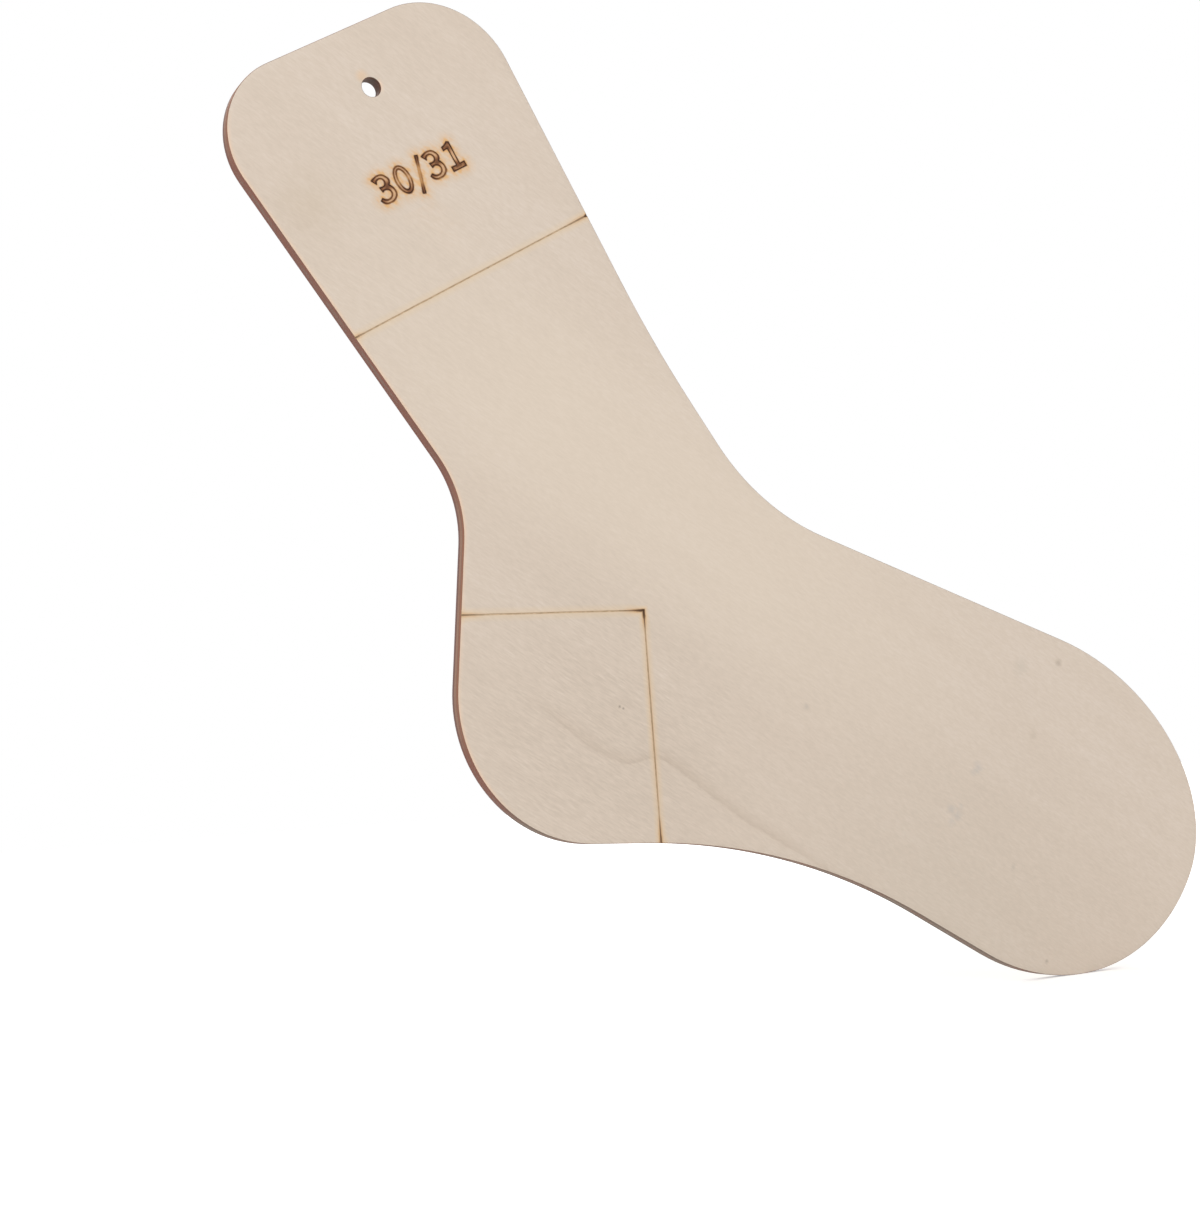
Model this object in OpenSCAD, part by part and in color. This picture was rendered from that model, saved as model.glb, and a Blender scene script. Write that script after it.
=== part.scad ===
// Sock stretcher: a flat sock form cut from one sheet of three-ply wood. A hanging hole goes
// through the top of the leg, and a cuff line and two heel lines are scored in the front face.
// The front faces -Y, the leg points up and the toe points to +X. The origin is on the axis of
// the hanging hole, half way through the sheet. Lengths are in millimetres, angles in degrees.

/* [Sheet] */
// Thickness of each of the two face veneers
face_ply = 0.9; // [0.6:0.05:2]
// Thickness of the core veneer, whose grain runs across that of the faces
core_ply = 1; // [0.6:0.05:3]
// Thickness of each glue line between two veneers
glue_line = 0.1; // [0.05:0.01:0.3]

/* [Leg] */
// Lean of the leg, back from upright
leg_lean = 28; // [20:0.5:36]
// Height of the top edge above the heel corner, along the leg
leg_h = 132; // [120:1:180]
// Height of the cuff line above the heel corner, along the leg
cuff_h = 77; // [62:1:95]
// Width of the leg at the cuff line
cuff_w = 60.5; // [50:0.5:75]
// Distance of the leg's middle line in front of the heel corner
leg_shift = 3.5; // [0:0.1:10]
// Flare of the back edge toward the top
back_flare = 6.2; // [0:0.1:9]
// Flare of the front edge toward the top
front_flare = 1.3; // [0:0.1:6]
// Radius of the top corner at the back
back_corner_r = 16.5; // [4:0.5:24]
// Radius of the top corner at the front
front_corner_r = 18.5; // [4:0.5:24]

/* [Shin and instep] */
// Height above the heel corner, along the leg, at which the shin starts forward
shin_h = 46.5; // [42:0.5:56]
// Angle by which the shin turns forward there
shin_turn = 6.3; // [3:0.1:10]
// Radius of that turn
shin_r = 265; // [60:5:300]
// Radius of the bend between the shin and the instep
instep_r = 52; // [20:1:70]

/* [Heel] */
// Distance from the heel corner back to the heel's rear edge, along the level heel line
heel_back = 41.2; // [34:0.1:50]
// Distance from the heel corner down to the heel's lower edge, along the upright heel line
heel_drop = 48.2; // [40:0.1:58]
// Lean of the heel's rear edge, outward on the way down
heel_lean = 6.7; // [2:0.1:10]
// Slope of the heel's lower edge, down toward the toe
heel_slope = 3.6; // [0:0.1:8]
// Radius of the heel
heel_r = 29.5; // [12:0.5:32]
// Radius of the hollow above the heel
ankle_r = 26; // [10:1:60]

/* [Foot] */
// Drop of the sole, down toward the toe
foot_drop = 31.1; // [24:0.1:36]
// Distance of the toe's tip from the heel corner, along the sole
toe_reach = 155.5; // [140:0.5:190]
// Distance of the toe's tip above the heel corner, square to the sole
toe_rise = 16.3; // [12:0.1:22]
// Length of the rounded toe
toe_cap = 46; // [34:0.5:56]
// Width of the toe above its tip
toe_upper_w = 33; // [28:0.5:40]
// Width of the toe below its tip
toe_lower_w = 42.5; // [36:0.5:48]
// Flare of the instep toward the toe
instep_flare = 9.8; // [5:0.1:14]
// Radius of the arch under the foot
arch_r = 145; // [60:5:150]

/* [Hanging hole] */
// Diameter of the hanging hole
hole_d = 4; // [2:0.5:8]
// Distance of the hole's centre below the top edge
hole_inset = 12.6; // [8:0.1:24]

/* [Score lines] */
// Width of the cuff line and the heel lines
score_w = 0.35; // [0.2:0.05:1]
// Depth of the cuff line and the heel lines
score_d = 0.15; // [0.05:0.05:0.5]

/* [Hidden] */

// Height of an arc's crown over the chords that stand for it
chord_sag = 0.01;
// Number of chords in each half of the toe
toe_chords = 30;
// Number of chords round the hole
hole_chords = 48;
// How far each cut runs past the wood that it cuts
overrun = 2;

function dir(angle) = [cos(angle), sin(angle)];
function unit(v) = v / norm(v);
function cross_of(a, b) = a.x * b.y - a.y * b.x;

// The outline is drawn from the heel corner, where the two heel lines meet. An edge is
// a point and a direction, and two edges that follow each other meet in a corner.
leg_up = dir(90 + leg_lean);
leg_across = dir(leg_lean);
toe_way = dir(-foot_drop);
foot_up = dir(90 - foot_drop);

function meet(e, f) = e[0] + e[1] * cross_of(f[0] - e[0], f[1]) / cross_of(e[1], f[1]);

// Leg
cuff_mid = leg_up * cuff_h + leg_across * leg_shift;
top_edge = [leg_up * leg_h, leg_across];
back_edge = [cuff_mid - leg_across * cuff_w / 2, dir(90 + leg_lean + back_flare)];
front_edge = [cuff_mid + leg_across * cuff_w / 2, dir(90 + leg_lean - front_flare)];
shin_corner = meet(front_edge, [leg_up * shin_h, leg_across]);
shin_edge = [shin_corner, dir(90 + leg_lean - front_flare + shin_turn)];

// Heel
rear_edge = [[-heel_back, 0], dir(90 - heel_lean)];
lower_edge = [[0, -heel_drop], dir(-heel_slope)];

// Toe: two quarters of an ellipse that meet at its tip, the upper one drawn on to where it
// runs in the direction of the instep
toe_tip = toe_way * toe_reach + foot_up * toe_rise;
toe_end = 90 + atan(toe_cap / toe_upper_w * tan(instep_flare));
function toe_point(angle) = toe_tip + toe_way * toe_cap * (cos(angle) - 1)
    + foot_up * (angle < 0 ? toe_lower_w : toe_upper_w) * sin(angle);
toe_outline = [
    for (i = [0:toe_chords - 1]) toe_point(-90 + 90 * i / toe_chords),
    for (i = [0:toe_chords]) toe_point(toe_end * i / toe_chords)
];
sole_start = toe_point(-90);
instep_end = toe_point(toe_end);
sole_edge = [sole_start, toe_way];
instep_edge = [instep_end, dir(instep_flare - foot_drop)];

// Corners from the toe round by the instep, the leg and the heel to the sole, each with its
// radius. The first and the last are the two ends of the toe.
corners = [
    [instep_end, 0],
    [meet(instep_edge, shin_edge), instep_r],
    [shin_corner, shin_r],
    [meet(front_edge, top_edge), front_corner_r],
    [meet(top_edge, back_edge), back_corner_r],
    [meet(back_edge, rear_edge), ankle_r],
    [meet(rear_edge, lower_edge), heel_r],
    [meet(lower_edge, sole_edge), arch_r],
    [sole_start, 0]
];
last_corner = len(corners) - 1;

function edge_length(i) = norm(corners[i + 1][0] - corners[i][0]);
function way_back(i) = unit(corners[i - 1][0] - corners[i][0]);
function way_on(i) = unit(corners[i + 1][0] - corners[i][0]);
function half_angle(i) = acos(way_back(i) * way_on(i)) / 2;

// Length of edge that the arc at a corner takes up on each side of it
function arc_reach(i) = corners[i][1] == 0 ? 0 : corners[i][1] / tan(half_angle(i));

// Share of its radius that a corner keeps where two arcs have to share a short edge
function edge_share(i) = min(1, edge_length(i) / max(arc_reach(i) + arc_reach(i + 1), chord_sag));
function fitted_radius(i) = corners[i][1] * min(edge_share(i - 1), edge_share(i));

// Points of the arc that rounds a corner
function arc_points(i) =
    let (
        radius = fitted_radius(i),
        centre = corners[i][0] + unit(way_back(i) + way_on(i)) * radius / sin(half_angle(i)),
        spoke = corners[i][0] + way_back(i) * radius / tan(half_angle(i)) - centre,
        turn = (180 - 2 * half_angle(i)) * sign(cross_of(way_on(i), way_back(i))),
        chords = ceil(abs(turn) / (2 * acos(1 - chord_sag / radius)))
    )
    [for (k = [0:chords]) centre + radius * dir(atan2(spoke.y, spoke.x) + turn * k / chords)];

outline = concat(toe_outline, [for (i = [1:last_corner - 1]) each arc_points(i)]);

// The hole sits on the leg's middle line.
hole_at = leg_up * (leg_h - hole_inset) + leg_across * leg_shift;

// Layers from the front of the sheet to its back
sheet = 2 * face_ply + 2 * glue_line + core_ply;
front = -sheet / 2;
front_glue = front + face_ply;
core = front_glue + glue_line;
back_glue = core + core_ply;
back = back_glue + glue_line;

// Sock form upright with the hole at the origin
module placed(y, thickness) {
    translate([0, y + thickness, 0])
        rotate([90, 0, 0])
            linear_extrude(thickness)
                translate(-hole_at)
                    children();
}

module hanging_hole() {
    rotate([90, 0, 0])
        cylinder(h = sheet + 2 * overrun, d = hole_d, center = true, $fn = hole_chords);
}

// One layer of the sheet, in the sock's outline
module layer(y, thickness) {
    difference() {
        placed(y, thickness) polygon(outline);
        hanging_hole();
    }
}

// Straight cut from one point to past another, square at both ends
module score_line(from, to) {
    way = to - from;
    translate(from)
        rotate(atan2(way.y, way.x))
            translate([-score_w / 2, -score_w / 2])
                square([norm(way) + overrun + score_w / 2, score_w]);
}

module score_lines() {
    score_line(cuff_mid, front_edge[0]);
    score_line(cuff_mid, back_edge[0]);
    score_line([0, 0], rear_edge[0]);
    score_line([0, 0], lower_edge[0]);
}

module front_veneer() {
    color("wheat")
        difference() {
            layer(front, face_ply);
            placed(front - overrun, overrun + score_d) score_lines();
        }
}

module front_glue_line() {
    color("saddlebrown") layer(front_glue, glue_line);
}

module core_veneer() {
    color("tan") layer(core, core_ply);
}

module back_glue_line() {
    color("saddlebrown") layer(back_glue, glue_line);
}

module back_veneer() {
    color("wheat") layer(back, face_ply);
}

front_veneer();
front_glue_line();
core_veneer();
back_glue_line();
back_veneer();
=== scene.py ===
# %% [markdown]
# # A sock stretcher, cut by laser from a sheet of thin plywood
# The object is one flat sock shape: two pale face veneers, a core veneer between them and two
# glue lines. A laser cut the outline and the hanging hole, and then, at low power, scored a cuff
# line, two heel lines and the size figures into the front. The CAD solids give every size, so
# this lesson adds what the heat of the beam and the grain of the wood do to the surfaces.

# %% Load the layers of the CAD model
import math

import bmesh
import bpy
from mathutils import Matrix, Quaternion, Vector
from mathutils.bvhtree import BVHTree
from mathutils.kdtree import KDTree


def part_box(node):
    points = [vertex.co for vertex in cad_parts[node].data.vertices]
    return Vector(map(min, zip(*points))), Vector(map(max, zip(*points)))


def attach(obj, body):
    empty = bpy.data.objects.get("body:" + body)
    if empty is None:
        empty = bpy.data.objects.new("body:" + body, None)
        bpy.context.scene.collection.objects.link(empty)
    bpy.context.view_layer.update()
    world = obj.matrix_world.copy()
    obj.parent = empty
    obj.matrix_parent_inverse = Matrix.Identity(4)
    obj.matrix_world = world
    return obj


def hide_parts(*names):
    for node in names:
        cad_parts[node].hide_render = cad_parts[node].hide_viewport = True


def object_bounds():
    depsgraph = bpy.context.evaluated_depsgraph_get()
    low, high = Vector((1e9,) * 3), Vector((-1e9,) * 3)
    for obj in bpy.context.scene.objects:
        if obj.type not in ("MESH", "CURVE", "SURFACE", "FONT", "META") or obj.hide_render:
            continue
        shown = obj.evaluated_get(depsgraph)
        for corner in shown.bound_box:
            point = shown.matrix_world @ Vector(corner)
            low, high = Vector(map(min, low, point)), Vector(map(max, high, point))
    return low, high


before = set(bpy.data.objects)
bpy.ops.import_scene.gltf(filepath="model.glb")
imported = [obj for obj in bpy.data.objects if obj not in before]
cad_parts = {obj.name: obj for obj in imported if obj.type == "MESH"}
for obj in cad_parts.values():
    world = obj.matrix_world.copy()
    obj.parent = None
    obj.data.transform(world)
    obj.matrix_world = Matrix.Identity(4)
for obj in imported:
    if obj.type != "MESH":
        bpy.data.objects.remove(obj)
cad_low, cad_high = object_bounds()
MM = 0.001
print("plywood sheet, in mm:", [round(side / MM, 1) for side in cad_high - cad_low])

# %% [markdown]
# ## Camera
# The sheet is seen from in front, a little from the left and from below its middle, and the
# camera is rolled by a few degrees. `to_track_quat` aims the camera, and a second turn about its
# own axis adds the roll, which is easier to read than three Euler angles.

# %% Aim the camera
camera_at = Vector((-144.53, -365.67, -144.28)) * MM
aim_at = Vector((42.89, -1.45, -106.04)) * MM
roll = Quaternion((0, 0, 1), math.radians(-4.23))

camera = bpy.data.objects.new("camera", bpy.data.cameras.new("camera"))
camera.data.sensor_width = 36
camera.data.lens = 59.36
camera.data.clip_start = 0.01
camera.location = camera_at
camera.rotation_mode = "QUATERNION"
camera.rotation_quaternion = (aim_at - camera_at).to_track_quat("-Z", "Y") @ roll
bpy.context.scene.collection.objects.link(camera)
bpy.context.scene.camera = camera
print("camera is", round((aim_at - camera_at).length / MM), "mm from the sheet")

# %% [markdown]
# ## Two small helpers for materials
# Colours are picked from pictures as sRGB hex values, but shaders work with linear light, so one
# function converts them. Another adds a node, sets its properties and fills its sockets with
# numbers or with other nodes' outputs, so that a material reads from top to bottom.

# %% Colour and node helpers
def linear(hex_colour):
    """RGBA in linear light for an sRGB value such as "d8c9b8"."""
    shares = [int(hex_colour[i:i + 2], 16) / 255 for i in (0, 2, 4)]
    return [s / 12.92 if s <= 0.04045 else ((s + 0.055) / 1.055) ** 2.4 for s in shares] + [1.0]


def add_node(tree, kind, sockets=None, stops=None, **settings):
    """A new node, such as "Math". A socket takes a value, an output, or a node, whose first
    output it reads. stops are (place, grey or hex colour) on a colour ramp."""
    node = tree.nodes.new("ShaderNode" + kind)
    for name, value in settings.items():
        setattr(node, name, value)
    for socket, value in (sockets or {}).items():
        source = value.outputs[0] if isinstance(value, bpy.types.Node) else value
        if isinstance(source, bpy.types.NodeSocket):
            tree.links.new(source, node.inputs[socket])
        else:
            node.inputs[socket].default_value = source
    for i, (place, tint) in enumerate(stops or []):
        bands = node.color_ramp.elements
        band = bands[i] if i < len(bands) else bands.new(place)
        band.position = place
        band.color = linear(tint) if isinstance(tint, str) else (tint, tint, tint, 1)
    return node


def new_material(name):
    """A material, its node tree and its Principled shader."""
    material = bpy.data.materials.new(name)
    material.use_nodes = True
    return material, material.node_tree, material.node_tree.nodes["Principled BSDF"]


print("helpers ready; mid grey is", round(linear("808080")[0], 3), "in linear light")

# %% [markdown]
# ## Studio: white paper, a soft sky and three soft lamps
# A product photo like this is lit from all round. A white world gives most of the light, a large
# lamp on the front left gives the wood its slight gradient from leg to toe, and two weaker lamps
# keep the toe and the back from going grey. The paper and the sky show brighter to the camera,
# and to mirror and glass rays, than they light the wood. Far from the sheet the paper fades to
# pure white, so that no horizon shows, and near it the paper keeps the shadow.

# %% Paper floor
def seen_directly(tree):
    """1 for rays from the camera, a mirror or glass, and 0 for rays that carry light."""
    rays = add_node(tree, "LightPath")
    seen = rays.outputs["Is Camera Ray"]
    for kind in ("Is Glossy Ray", "Is Transmission Ray"):
        seen = add_node(tree, "Math", {0: seen, 1: rays.outputs[kind]}, operation="MAXIMUM")
    return seen


floor_mesh = bmesh.new()
bmesh.ops.create_grid(floor_mesh, x_segments=1, y_segments=1, size=6.0)
bmesh.ops.translate(floor_mesh, verts=floor_mesh.verts, vec=(0, 0, cad_low.z))
floor = bpy.data.objects.new("paper_floor", bpy.data.meshes.new("paper_floor"))
floor_mesh.to_mesh(floor.data)
floor_mesh.free()
bpy.context.scene.collection.objects.link(floor)

# Uncoated paper: even, matt and without any shine.
paper, tree, paper_shader = new_material("white_studio_paper")
for socket, value in (("Base Color", linear("f2f2f0")), ("Roughness", 0.9),
                      ("Specular IOR Level", 0.0), ("Emission Color", (1, 1, 1, 1))):
    paper_shader.inputs[socket].default_value = value
place = add_node(tree, "TexCoord")
far = add_node(tree, "VectorMath", {0: place.outputs["Object"]}, operation="LENGTH")
lift = add_node(tree, "MapRange", {
    "Value": far.outputs["Value"], "From Min": 0.3, "From Max": 0.8, "To Min": 0.38, "To Max": 1.0})
glow = add_node(tree, "Math", {0: seen_directly(tree), 1: lift}, operation="MULTIPLY")
tree.links.new(glow.outputs[0], paper_shader.inputs["Emission Strength"])
floor.data.materials.append(paper)
print("floor lies at", round(cad_low.z / MM, 1), "mm, under the sole")

# %% Sky and lamps
world = bpy.data.worlds.new("white_studio")
bpy.context.scene.world = world
world.use_nodes = True
tree = world.node_tree
sky = add_node(tree, "MapRange", {
    "Value": seen_directly(tree), "To Min": 0.53, "To Max": 1.0})
tree.links.new(sky.outputs[0], tree.nodes["Background"].inputs["Strength"])
tree.nodes["Background"].inputs["Color"].default_value = (1, 1, 1, 1)


def soft_lamp(name, place, watts, width):
    """A square lamp that looks at the middle of the sheet. Its place is in metres."""
    lamp = bpy.data.objects.new(name, bpy.data.lights.new(name, "AREA"))
    lamp.data.energy = watts
    lamp.data.size = width
    lamp.location = place
    lamp.rotation_mode = "QUATERNION"
    lamp.rotation_quaternion = (aim_at - lamp.location).to_track_quat("-Z", "Y")
    bpy.context.scene.collection.objects.link(lamp)


soft_lamp("lamp_front_left", Vector((-0.75, -1.1, 0.75)), 9.5, 0.9)
soft_lamp("lamp_front_right", Vector((1.0, -0.9, 0.35)), 2.0, 0.8)
soft_lamp("lamp_behind", Vector((0.3, 1.2, 0.8)), 8, 1.0)
bpy.context.scene.view_settings.view_transform = "Standard"

# %% [markdown]
# ## The face veneers as pieces of their own
# The CAD veneers have the right shape, but heat marks need more points near each cut than a flat
# face has. So each veneer is copied, its loose triangles are merged, and flat triangles are
# dissolved into whole faces. The imported normals are dropped, since they would overrule the
# corners that are marked sharp later. A face that reaches the glue is a cut edge, and one that
# does not, and is not flat on the outside, belongs to a scored line.

# %% Copy a veneer and sort its faces
FACE, CUT_EDGE, SCORE, FIGURE = 0, 1, 2, 3
SNAP = 0.001 * MM
FLAT_TURN = math.radians(0.2)


def lies_at(part, y):
    """True if all points of a face or an edge are at one depth of the sheet."""
    return all(abs(v.co.y - y) < SNAP for v in part.verts)


def sorted_copy(node, outer_y, inner_y):
    """A bmesh of a CAD veneer, with its faces numbered by what made them."""
    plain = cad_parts[node].data.copy()
    if "custom_normal" in plain.attributes:
        plain.attributes.remove(plain.attributes["custom_normal"])
    mesh = bmesh.new()
    mesh.from_mesh(plain)
    bpy.data.meshes.remove(plain)
    bmesh.ops.remove_doubles(mesh, verts=mesh.verts, dist=SNAP)
    bmesh.ops.dissolve_limit(mesh, angle_limit=FLAT_TURN, verts=mesh.verts, edges=mesh.edges)
    for face in mesh.faces:
        flat = lies_at(face, outer_y) or lies_at(face, inner_y)
        to_glue = any(abs(v.co.y - inner_y) < SNAP for v in face.verts)
        face.material_index = FACE if flat else CUT_EDGE if to_glue else SCORE
    print(node, "has", len(mesh.faces), "faces,",
          sum(f.material_index == SCORE for f in mesh.faces), "of them in scored lines")
    return mesh


front_y, front_glue_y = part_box("front_veneer")[0].y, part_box("front_veneer")[1].y
back_y, back_glue_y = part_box("back_veneer")[1].y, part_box("back_veneer")[0].y
front = sorted_copy("front_veneer", front_y, front_glue_y)
back = sorted_copy("back_veneer", back_y, back_glue_y)

# %% [markdown]
# ## A tiny round on the cut corner, and a band along every cut
# A light sanding takes the sharpness off the outer corner, which `bevel` does. Then the outer
# face is inset, so that a narrow band of faces follows each cut, on which the distance from the
# cut can be stored. At a corner with a point close to it the band folds over itself. There its
# rim runs backwards, and `collapse` takes that piece of rim out.

# %% Round the corner and lay the bands
ARRIS = 0.1 * MM
BAND = 1.6 * MM
RIM_STEP = 3.0 * MM


def round_corner(mesh, outer_y, inner_y):
    """Take the sharpness off the outer corner of the cut edge."""
    corner = [e for e in mesh.edges if lies_at(e, outer_y)
              and any(f.material_index == CUT_EDGE for f in e.link_faces)]
    bmesh.ops.bevel(mesh, geom=corner, offset=ARRIS, affect="EDGES", segments=2, profile=0.5,
                    material=-1)
    bmesh.ops.remove_doubles(mesh, verts=mesh.verts, dist=SNAP)
    for face in mesh.faces:
        flat = lies_at(face, outer_y) or lies_at(face, inner_y)
        if face.material_index == FACE and not flat:
            face.material_index = CUT_EDGE


def lay_band(mesh, outer_y):
    """Lay a band of faces along each cut of the outer face."""
    def on_rim(point):
        return any(not lies_at(f, outer_y) for f in point.link_faces)

    long_rims = [e for e in mesh.edges if lies_at(e, outer_y) and all(on_rim(v) for v in e.verts)
                 and e.calc_length() > 2 * RIM_STEP]
    for edge in long_rims:
        bmesh.ops.subdivide_edges(mesh, edges=[edge], cuts=int(edge.calc_length() / RIM_STEP) - 1)
    outer = [f for f in mesh.faces if lies_at(f, outer_y)]
    band = bmesh.ops.inset_region(mesh, faces=outer, thickness=BAND, use_even_offset=True)["faces"]
    folds = set()
    for face in band:
        rims = [loop for loop in face.loops
                if on_rim(loop.vert) and on_rim(loop.link_loop_next.vert)]
        ends = [loop for loop in face.loops
                if not on_rim(loop.vert) and not on_rim(loop.link_loop_next.vert)]
        if rims and ends:
            out = rims[0].link_loop_next.vert.co - rims[0].vert.co
            back_again = ends[0].link_loop_next.vert.co - ends[0].vert.co
            if out.dot(back_again) > 0:
                folds.add(ends[0].edge)
    bmesh.ops.collapse(mesh, edges=list(folds))
    print("band of", len(band), "faces, with", len(folds), "folds taken out")


for mesh, outer_y, inner_y in ((front, front_y, front_glue_y), (back, back_y, back_glue_y)):
    round_corner(mesh, outer_y, inner_y)
    lay_band(mesh, outer_y)

# %% [markdown]
# ## A fine net of faces under the size figures
# The figures are small, so the wood round them needs points every fifth of a millimetre for its
# heat marks. Five cuts with `bisect_plane` free two rectangles in the flat face, and
# `subdivide_edges` with a grid fill turns each of them into a net.

# %% The line that the figures stand on
TEXT_TURN = math.radians(28)
text_along = Vector((math.cos(TEXT_TURN), 0, math.sin(TEXT_TURN)))
text_up = Vector((-math.sin(TEXT_TURN), 0, math.cos(TEXT_TURN)))
text_start = Vector((0.85 * MM, front_y, -24.81 * MM))


def on_text_line(along, up):
    """A point of the front face, from millimetres along the figures' base line and above it."""
    return text_start + text_along * along * MM + text_up * up * MM


def place_on_line(point):
    """The reverse: millimetres along the base line and above it."""
    way = (point - text_start) / MM
    return way.dot(text_along), way.dot(text_up)


print("figures start", [round(side / MM, 2) for side in text_start], "mm from the hanging hole")

# %% Cut out the rectangles and fill them with a net
NET_CUTS = 59
CUFF_BELOW = 19
net_left, net_middle, net_right, net_bottom, net_top = -2.6, 10.8, 24.2, -3.2, 9.4


def flat_inner_faces(mesh):
    """Faces of the front that lie inside the bands, above the cuff line."""
    flat = {f for f in mesh.faces if lies_at(f, front_y)}
    inner = [f for f in flat if all(g in flat for v in f.verts for g in v.link_faces)]
    return [f for f in inner if min(place_on_line(v.co)[1] for v in f.verts) > -CUFF_BELOW]


net_lines = ([(on_text_line(along, 0), text_along) for along in (net_left, net_middle, net_right)]
             + [(on_text_line(0, up), text_up) for up in (net_bottom, net_top)])
for point, way in net_lines:
    faces = flat_inner_faces(front)
    cut = set(faces) | {e for f in faces for e in f.edges} | {v for f in faces for v in f.verts}
    bmesh.ops.bisect_plane(front, geom=list(cut), plane_co=point, plane_no=way, dist=SNAP / 10)

panels = []
for face in flat_inner_faces(front):
    along, up = place_on_line(face.calc_center_bounds())
    if net_left < along < net_right and net_bottom < up < net_top:
        panels.append(face)
print("panels under the figures:", [len(f.verts) for f in panels], "points")
net_edges = {e for f in panels for e in f.edges}
bmesh.ops.subdivide_edges(front, edges=list(net_edges), cuts=NET_CUTS, use_grid_fill=True)
print("front_veneer now has", len(front.faces), "faces")

# %% [markdown]
# ## Burn the size figures into the front
# On the real sheet the beam ran once round the outline of each figure, so every stroke shows as
# two fine grooves with scorched wood between them. Each outline is a closed Bezier line through a
# few points. Automatic handles make it smooth, and where it turns sharply, straight handles keep
# the corner. Filled, an outline tells which wood lies inside a stroke. With a round bevel it
# becomes a tube, and a Boolean takes the tubes out of the veneer.

# %% Draw the outlines
# Points are in millimetres along the base line and above it.
three = ((0.62, 5.66), (1.50, 5.98), (2.35, 6.10), (3.20, 5.90), (3.85, 5.25), (4.15, 4.55),
         (4.00, 3.98), (3.62, 3.52), (3.98, 3.05), (4.25, 2.45), (4.33, 1.80), (4.15, 1.15),
         (3.65, 0.65), (3.00, 0.33), (2.25, 0.26), (1.50, 0.32), (0.85, 0.68), (0.43, 1.30),
         (0.90, 1.62), (1.30, 1.18), (1.95, 0.93), (2.65, 1.02), (3.15, 1.35), (3.42, 1.95),
         (3.28, 2.52), (2.80, 2.90), (2.20, 3.02), (1.72, 2.82), (1.52, 3.72), (2.15, 3.65),
         (2.80, 3.82), (3.10, 4.35), (3.03, 4.95), (2.60, 5.38), (2.00, 5.46), (1.45, 5.20),
         (1.25, 4.72))
slash = ((9.60, -0.97), (10.12, -1.13), (10.38, -0.06), (11.23, 2.61), (12.08, 5.28),
         (12.48, 6.28), (11.96, 6.44), (11.70, 5.40), (10.85, 2.73), (10.00, 0.06))
one = ((18.25, 0.20), (21.45, 0.20), (21.42, 1.15), (20.25, 1.10), (20.32, 5.95), (19.90, 6.20),
       (19.20, 5.75), (18.40, 5.55), (18.42, 4.85), (19.45, 5.00), (19.50, 1.10), (18.22, 1.10))
SECOND_THREE, OVAL_POINTS = 12.6, 16
second_three = tuple((along + SECOND_THREE, up) for along, up in three)


def oval(along, up, half_width, half_height):
    """Points round an oval, from its lowest one."""
    angles = [math.radians(360 * i / OVAL_POINTS - 90) for i in range(OVAL_POINTS)]
    return tuple((along + half_width * math.cos(a), up + half_height * math.sin(a)) for a in angles)


zero, zero_inside = oval(7.10, 3.20, 1.72, 2.92), oval(7.08, 3.25, 1.08, 2.27)
figures = ((three,), (zero, zero_inside), (slash,), (second_three,), (one,))
print("figures of", [sum(len(loop) for loop in loops) for loops in figures], "points")

# %% Make curves of them
CORNER_TURN, BEND_TURN = math.radians(50), math.radians(14)


def turn_at(loop, i):
    """Angle by which a closed line turns at one of its points."""
    before = Vector(loop[i]) - Vector(loop[i - 1])
    after = Vector(loop[(i + 1) % len(loop)]) - Vector(loop[i])
    return before.angle(after)


def figure_curve(loops):
    """One figure as a curve of closed Bezier lines."""
    curve = bpy.data.curves.new("figure", "CURVE")
    for loop in loops:
        spline = curve.splines.new("BEZIER")
        spline.bezier_points.add(len(loop) - 1)
        spline.use_cyclic_u = True
        for i, point in enumerate(spline.bezier_points):
            point.co = (loop[i][0] * MM, loop[i][1] * MM, 0)
            sharp = turn_at(loop, i) > CORNER_TURN
            point.handle_left_type = point.handle_right_type = "VECTOR" if sharp else "AUTO"
    figure = bpy.data.objects.new("figure", curve)
    bpy.context.scene.collection.objects.link(figure)
    return figure


outlines = [figure_curve(loops) for loops in figures]
print("outlines of", len(outlines), "figures")

# %% Make strokes and tubes of them
BEAM_R = 0.16 * MM
BURN_DEPTH = 0.9


def mesh_of(curve_object):
    """What a curve shows, as a mesh."""
    bpy.context.view_layer.update()
    shown = curve_object.evaluated_get(bpy.context.evaluated_depsgraph_get())
    return bpy.data.meshes.new_from_object(shown)


strokes, cutter = bmesh.new(), bmesh.new()
for outline in outlines:
    outline.data.resolution_u = 5
    outline.data.dimensions = "2D"
    outline.data.fill_mode = "BOTH"
    strokes.from_mesh(mesh_of(outline))
    outline.data.dimensions = "3D"
    outline.data.fill_mode = "FULL"
    outline.data.bevel_depth = BEAM_R
    outline.data.bevel_resolution = 2
    cutter.from_mesh(mesh_of(outline))
    bpy.data.objects.remove(outline)

on_face = Matrix((text_along, text_up, (0, -1, 0))).transposed().to_4x4()
on_face.translation = text_start
strokes.transform(on_face)
cutter.transform(on_face @ Matrix.Diagonal((1, 1, BURN_DEPTH, 1)))
bmesh.ops.remove_doubles(cutter, verts=cutter.verts, dist=SNAP)
bmesh.ops.recalc_face_normals(cutter, faces=cutter.faces)
for face in cutter.faces:
    face.material_index = FIGURE
print("strokes have", len(strokes.faces), "faces, tubes", len(cutter.faces))

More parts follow.
